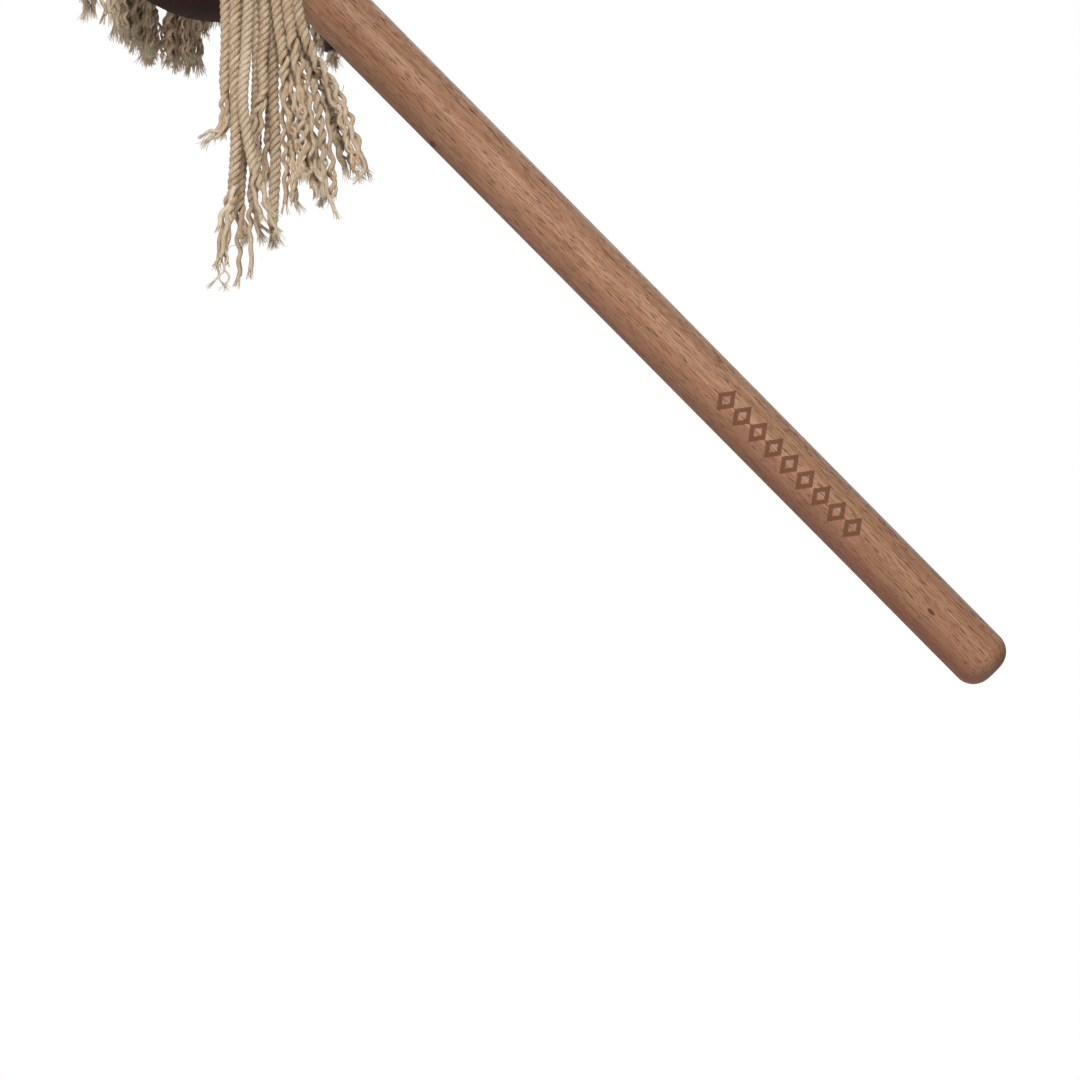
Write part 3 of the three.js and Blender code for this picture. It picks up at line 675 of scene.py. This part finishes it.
def make_cup():
    inside = CUP_RADIUS - CUP_WALL
    sleeve = CUP_BORE + CUP_WALL
    outer_foot = -math.degrees(math.acos(CUP_BORE / CUP_RADIUS))
    inner_foot = -math.degrees(math.acos(sleeve / inside))
    bottom = BOWL_CENTRE - math.sqrt(CUP_RADIUS ** 2 - CUP_BORE ** 2)
    rim = arc((CUP_RADIUS - CUP_WALL / 2, MOUTH - CUP_WALL / 2), CUP_WALL / 2, 0, 180, 10)
    profile = (arc((0, BOWL_CENTRE), CUP_RADIUS, outer_foot, 0, 60) + rim
               + arc((0, BOWL_CENTRE), inside, 0, inner_foot, 40)
               + [[sleeve, bottom + SLEEVE_LENGTH], [CUP_BORE, bottom + SLEEVE_LENGTH]])

    def gathered(radius, station, azimuth):
        """Pulls the leather in between its gathers, more and more towards the handle."""
        if station > bottom + 0.6 * SLEEVE_LENGTH or radius <= CUP_BORE + 1e-6:
            return radius, station
        near = max(0.0, 1 - (radius - CUP_BORE) / (0.55 * CUP_RADIUS))
        wave = 0.5 + 0.5 * math.cos(GATHERS * azimuth + 1.6 * math.sin(3 * azimuth))
        return radius, station + GATHER_DEPTH * near ** 1.5 * wave

    cup = lathe("leather_cup_moulded", profile, CUP_SIDES, "leather", gathered, closed=True)
    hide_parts("leather_cup")


# ---- materials ----
class Nodes:
    """A small helper that adds shader nodes and links them."""

    def __init__(self, name):
        self.material = bpy.data.materials.new(name)
        self.material.use_nodes = True
        self.tree = self.material.node_tree
        self.shader = self.tree.nodes["Principled BSDF"]

    def add(self, kind, inputs=(), **settings):
        node = self.tree.nodes.new(kind)
        for key, value in settings.items():
            setattr(node, key, value)
        for socket, value in dict(inputs).items():
            if isinstance(value, bpy.types.NodeSocket):
                self.tree.links.new(value, node.inputs[socket])
            else:
                node.inputs[socket].default_value = value
        return node

    def attribute(self, name):
        return self.add("ShaderNodeAttribute", attribute_name=name)

    def scaled(self, vector, scale):
        return self.add("ShaderNodeMapping", {"Vector": vector, "Scale": scale}).outputs["Vector"]

    def noise(self, vector, scale=1.0, detail=3.0, distortion=0.0):
        inputs = {"Vector": vector, "Scale": scale, "Detail": detail, "Distortion": distortion}
        return self.add("ShaderNodeTexNoise", inputs).outputs["Fac"]

    def ramp(self, factor, stops):
        node = self.add("ShaderNodeValToRGB", {"Fac": factor})
        while len(node.color_ramp.elements) < len(stops):
            node.color_ramp.elements.new(0.5)
        for element, (place, color) in zip(node.color_ramp.elements, stops):
            element.position = place
            element.color = (*color, 1)
        return node.outputs["Color"]

    def mix(self, factor, a, b, mode="MIX"):
        node = self.add("ShaderNodeMix", data_type="RGBA", blend_type=mode)
        for socket, value in ((node.inputs[0], factor), (node.inputs[6], a), (node.inputs[7], b)):
            if isinstance(value, bpy.types.NodeSocket):
                self.tree.links.new(value, socket)
            else:
                socket.default_value = (*value, 1) if isinstance(value, tuple) else value
        return node.outputs[2]

    def math(self, operation, a, b=0.0, clamp=False):
        node = self.add("ShaderNodeMath", operation=operation, use_clamp=clamp)
        for socket, value in zip(node.inputs, (a, b)):
            if isinstance(value, bpy.types.NodeSocket):
                self.tree.links.new(value, socket)
            else:
                socket.default_value = value
        return node.outputs[0]

    def finish(self, color, roughness, bump=None, strength=0.5, distance=0.0002, **fixed):
        self.tree.links.new(color, self.shader.inputs["Base Color"])
        if isinstance(roughness, bpy.types.NodeSocket):
            self.tree.links.new(roughness, self.shader.inputs["Roughness"])
        else:
            self.shader.inputs["Roughness"].default_value = roughness
        if bump is not None:
            node = self.add("ShaderNodeBump", {"Height": bump, "Strength": strength, "Distance": distance})
            self.tree.links.new(node.outputs["Normal"], self.shader.inputs["Normal"])
        for key, value in fixed.items():
            self.shader.inputs[key.replace("_", " ")].default_value = value
        return self.material


def cotton_material(name, relief, paleness):
    n = Nodes(name)
    yarn = n.attribute("yarn").outputs["Vector"]
    place = n.add("ShaderNodeTexCoord").outputs["Object"]
    fibres = n.noise(n.scaled(yarn, (2.6, 2.6, 0.55)), detail=4)
    cloudy = n.noise(place, scale=55.0, detail=2)
    color = n.ramp(fibres, [(0.3, (0.31, 0.19, 0.105)), (0.5, (0.58, 0.44, 0.295)),
                            (0.7, (0.82, 0.71, 0.545))])
    clean = n.ramp(cloudy, [(0.35, (0, 0, 0)), (0.7, (1, 1, 1))])
    color = n.mix(clean, n.mix(0.45, color, (0.36, 0.21, 0.11)), color)
    tone = n.attribute("tone").outputs["Fac"]
    # Each tube is paled by its random tone; a larger paleness, as in the frays' copy, is painted light
    # against their self-shadow.
    color = n.mix(n.math("MULTIPLY", tone, paleness), color, (0.78, 0.69, 0.55))
    # Painted shade: the grooves between plies and the core of each cord are darkened, standing in for the
    # shade that falls there.
    depth = n.ramp(n.attribute("depth").outputs["Fac"], [(0.3, (1, 1, 1)), (0.9, (0, 0, 0))])
    color = n.mix(depth, color, n.mix(0.85, color, (0.15, 0.07, 0.03)))
    return n.finish(color, 0.93, fibres, strength=relief, distance=0.0004,
                    Sheen_Weight=0.1, Sheen_Roughness=0.5, Specular_IOR_Level=0.15)


def thread_material():
    n = Nodes("dark_waxed_thread")
    yarn = n.attribute("yarn").outputs["Vector"]
    strands = n.noise(n.scaled(yarn, (3.0, 3.0, 0.8)), detail=3)
    color = n.ramp(strands, [(0.3, (0.018, 0.011, 0.008)), (0.7, (0.075, 0.05, 0.036))])
    return n.finish(color, 0.6, strands, strength=0.6, distance=0.0002)


def plain_thread_material():
    n = Nodes("binding_thread")
    place = n.add("ShaderNodeTexCoord").outputs["Object"]
    strands = n.noise(place, scale=2500.0, detail=3)
    color = n.ramp(strands, [(0.3, (0.018, 0.011, 0.008)), (0.7, (0.075, 0.05, 0.036))])
    return n.finish(color, 0.65, strands, strength=0.5, distance=0.0002)


def brass_material():
    n = Nodes("tack_brass")
    place = n.add("ShaderNodeTexCoord").outputs["Object"]
    wear = n.noise(place, scale=900.0, detail=4)
    color = n.ramp(wear, [(0.35, (0.42, 0.28, 0.09)), (0.65, (0.68, 0.48, 0.2))])
    rough = n.math("ADD", n.math("MULTIPLY", wear, 0.3), 0.22)
    return n.finish(color, rough, wear, strength=0.2, distance=0.0001, Metallic=1.0)


BUTT_DARK_START = BUTT_END / MM + 6                         # the rounded end is darker below this station, in mm
# Small dark spots in the wood's front: [aside, station] and [width, length], in mm.
KNOTS = [((-1.3, -73.0), (0.9, 2.2)), ((-11.6, 211.0), (1.0, 1.8))]
LOZENGES, LOZENGE_PITCH, LOZENGE_LENGTH, LOZENGE_WIDTH = 9, 9.3, 9.0, 12.0     # mm
ORNAMENT_MIDDLE = 12.0                                # station of the burnt row, in mm


def beech_material():
    n = Nodes("oiled_beech")
    grain = n.attribute("grain").outputs["Vector"]
    x, y, z = (n.add("ShaderNodeSeparateXYZ", {"Vector": grain}).outputs[i] for i in range(3))
    broad = n.noise(n.scaled(grain, (0.16, 0.16, 0.008)), detail=3, distortion=0.4)
    color = n.ramp(broad, [(0.3, (0.37, 0.188, 0.105)), (0.5, (0.47, 0.262, 0.157)),
                           (0.7, (0.52, 0.305, 0.19))])
    lines = n.noise(n.scaled(grain, (1.5, 1.5, 0.035)), detail=4)
    color = n.mix(n.ramp(lines, [(0.4, (0.6,) * 3), (0.62, (0, 0, 0))]), color, (0.27, 0.115, 0.058))
    # Painted shade: the handle's lower-left side is darkened, more and more towards the butt, with an uneven
    # edge.
    uneven_edge = n.math("MULTIPLY", n.math("SUBTRACT", broad, 0.5), 0.9)
    painted_lower_shade = n.math("ADD", n.math("MULTIPLY", x, -1 / 9), uneven_edge, clamp=True)
    shade_to_butt = n.math("ADD", n.math("MULTIPLY", z, -0.0014), 0.72, clamp=True)
    color = n.mix(n.math("MULTIPLY", painted_lower_shade, shade_to_butt), color, (0.2, 0.07, 0.034))
    flecks = n.noise(n.scaled(grain, (3.1, 3.1, 0.2)), detail=1)
    dark = n.ramp(flecks, [(0.575, (0, 0, 0)), (0.64, (0.85,) * 3)])
    color = n.mix(dark, color, (0.13, 0.05, 0.025))
    bark = n.noise(n.scaled(grain, (0.8, 0.8, 0.2)), detail=3)
    upper = n.math("MULTIPLY", n.math("ADD", x, -7.4), 0.4, clamp=True)
    patch = n.math("MULTIPLY", n.ramp(bark, [(0.57, (0, 0, 0)), (0.64, (1, 1, 1))]), upper)
    color = n.mix(n.math("MULTIPLY", patch, 0.85), color, (0.14, 0.048, 0.026))
    # The rounded butt end is darkened towards its tip.
    butt_dark = n.math("MULTIPLY", n.math("ADD", z, -BUTT_DARK_START), -0.16, clamp=True)
    color = n.mix(n.math("MULTIPLY", butt_dark, 0.85), color, (0.15, 0.065, 0.037))
    for place, size in KNOTS:
        color = n.mix(n.math("MULTIPLY", knot(n, x, y, z, place, size), 0.85), color, (0.09, 0.03, 0.015))
    mark = burnt_mark(n, x, y, z)
    color = n.mix(n.math("MULTIPLY", mark, 0.92), color, (0.15, 0.052, 0.024))
    rough = n.math("ADD", n.math("MULTIPLY", flecks, 0.25), 0.42)
    sunk = n.math("ADD", n.math("MULTIPLY", dark, 0.7), mark)
    height = n.math("SUBTRACT", n.math("MULTIPLY", lines, 0.35), sunk)
    return n.finish(color, rough, height, strength=0.35, distance=0.0002, Specular_IOR_Level=0.35)


def knot(n, x, y, z, place, size):
    """1 inside a small oval on the side away from BACK."""
    aside = n.math("DIVIDE", n.math("SUBTRACT", x, place[0]), size[0])
    ahead = n.math("DIVIDE", n.math("SUBTRACT", z, place[1]), size[1])
    reach = n.math("ADD", n.math("MULTIPLY", aside, aside), n.math("MULTIPLY", ahead, ahead))
    inside = n.math("MULTIPLY", n.math("SUBTRACT", 1.0, reach), 2.5, clamp=True)
    return n.math("MULTIPLY", inside, n.math("LESS_THAN", y, 0))


def burnt_mark(n, x, y, z):
    """1 inside a plain row of lozenges, each with a clear line down it, on the side away from BACK."""
    row = LOZENGE_PITCH * LOZENGES
    run = n.math("ADD", z, row / 2 - ORNAMENT_MIDDLE)
    within = n.math("MULTIPLY", n.math("GREATER_THAN", run, 0), n.math("LESS_THAN", run, row))
    cell = n.math("SUBTRACT", n.math("FRACT", n.math("MULTIPLY", run, 1 / LOZENGE_PITCH)), 0.5)
    lengthways = n.math("MULTIPLY", n.math("ABSOLUTE", cell), 2 * LOZENGE_PITCH / LOZENGE_LENGTH)
    across = n.math("MULTIPLY", n.math("ABSOLUTE", x), 2 / LOZENGE_WIDTH)
    reach = n.math("ADD", lengthways, across)
    solid = n.math("MULTIPLY", n.math("SUBTRACT", 1.0, reach), 14, clamp=True)
    hollow = n.math("MULTIPLY", n.math("SUBTRACT", reach, 0.4), 14, clamp=True)
    front = n.math("LESS_THAN", y, 0)
    return n.math("MULTIPLY", n.math("MULTIPLY", n.math("MULTIPLY", solid, hollow), within), front)


def leather_material():
    n = Nodes("dark_brown_leather")
    grain = n.attribute("grain").outputs["Vector"]
    cells = n.add("ShaderNodeTexVoronoi", {"Vector": grain, "Scale": 0.85}, feature="DISTANCE_TO_EDGE")
    creases = n.ramp(cells.outputs["Distance"], [(0.0, (0, 0, 0)), (0.22, (1, 1, 1))])
    cloudy = n.noise(grain, scale=0.07, detail=4)
    fine = n.noise(grain, scale=2.4, detail=3)
    color = n.ramp(cloudy, [(0.32, (0.016, 0.0052, 0.0034)), (0.52, (0.026, 0.0085, 0.006)),
                            (0.72, (0.046, 0.0155, 0.012))])
    scuffs = n.math("MULTIPLY", n.ramp(fine, [(0.5, (0, 0, 0)), (0.75, (1, 1, 1))]), 0.2)
    color = n.mix(scuffs, color, (0.075, 0.034, 0.026))
    rough = n.math("ADD", n.math("MULTIPLY", cloudy, 0.3), 0.42)
    height = n.math("ADD", n.math("MULTIPLY", creases, 0.6), n.math("MULTIPLY", fine, 0.3))
    return n.finish(color, rough, height, strength=0.28, distance=0.0003,
                    Specular_IOR_Level=0.3, IOR=1.2, Specular_Tint=(1.0, 0.6, 0.45, 1.0))


# ---- surroundings ----
def make_floor():
    mesh = bpy.data.meshes.new("floor")
    size, drop = 1.5, -0.6
    corners = [(-size, -size, drop), (size, -size, drop), (size, size, drop), (-size, size, drop)]
    mesh.from_pydata(corners, [], [(0, 1, 2, 3)])
    floor = bpy.data.objects.new("floor", mesh)
    bpy.context.scene.collection.objects.link(floor)
    n = Nodes("pale_floor")
    place = n.add("ShaderNodeTexCoord").outputs["Object"]
    color = n.ramp(n.noise(place, scale=6.0), [(0.3, (0.84, 0.84, 0.83)), (0.7, (0.88, 0.88, 0.87))])
    floor.data.materials.append(n.finish(color, 0.8, Emission_Color=(1, 1, 1, 1), Emission_Strength=0.12))


def area_light(name, place, aim, size, power, color=(1, 1, 1)):
    data = bpy.data.lights.new(name, "AREA")
    data.shape, data.size, data.energy, data.color = "DISK", size, power, color
    light = bpy.data.objects.new(name, data)
    light.location = place
    light.rotation_euler = (Vector(aim) - Vector(place)).to_track_quat("-Z", "Y").to_euler()
    bpy.context.scene.collection.objects.link(light)


def light_scene():
    world = bpy.data.worlds.new("studio")
    bpy.context.scene.world = world
    world.use_nodes = True
    tree = world.node_tree
    paths = tree.nodes.new("ShaderNodeLightPath")
    seen = tree.nodes.new("ShaderNodeBackground")
    dim = tree.nodes.new("ShaderNodeBackground")
    mix = tree.nodes.new("ShaderNodeMixShader")
    seen.inputs["Strength"].default_value = 1.0
    seen.inputs["Color"].default_value = (1, 1, 1, 1)
    dim.inputs["Strength"].default_value = 0.22
    dim.inputs["Color"].default_value = (0.93, 0.96, 1, 1)
    tree.links.new(paths.outputs["Is Camera Ray"], mix.inputs[0])
    tree.links.new(dim.outputs[0], mix.inputs[1])
    tree.links.new(seen.outputs[0], mix.inputs[2])
    tree.links.new(mix.outputs[0], tree.nodes["World Output"].inputs["Surface"])
    area_light("key", (-0.15, -2.1, 1.6), (-0.1, 0, 0.05), 0.5, 48, (1, 0.98, 0.95))
    area_light("fill", (-1.5, -1.6, -0.2), (-0.22, 0, 0.15), 1.0, 9, (1, 0.96, 0.9))
    area_light("back", (0.6, 1.9, 1.4), (-0.1, 0, 0.05), 1.6, 16)
    scene = bpy.context.scene
    scene.view_settings.view_transform = "Standard"
    scene.view_settings.look = "None"
    scene.view_settings.exposure = 0.0
    scene.view_settings.gamma = 1.0


def paint(material, slot=None, ending="", nodes=()):
    """Gives a material to the made pieces of a slot whose names end so, or to CAD nodes."""
    made = [o for o in bpy.context.scene.objects if o.type == "MESH" and o.get("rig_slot") == slot
            and o.name.endswith(ending) and "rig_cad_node" not in o]
    for o in made if slot else [frame["nodes"][name] for name in nodes]:
        o.data.materials.clear()
        o.data.materials.append(material)


make_camera()
make_cords()
make_bundle()
make_handle()
make_cup()
paint(cotton_material("ecru_cotton", 0.9, 0.3), slot="cotton")
# The frays get a paler copy of the cotton: painted light that lifts them out of the shade in their own fine
# fibres.
paint(cotton_material("frayed_cotton", 0.3, 0.7), slot="cotton", ending="_frays")
paint(thread_material(), slot="thread")
paint(beech_material(), slot="beech")
paint(leather_material(), slot="leather")
paint(plain_thread_material(), nodes=("neck_thread", "root_thread_lower", "root_thread_upper"))
paint(brass_material(), nodes=[f"cup_tack_{i}" for i in range(1, 5)])
make_floor()
light_scene()
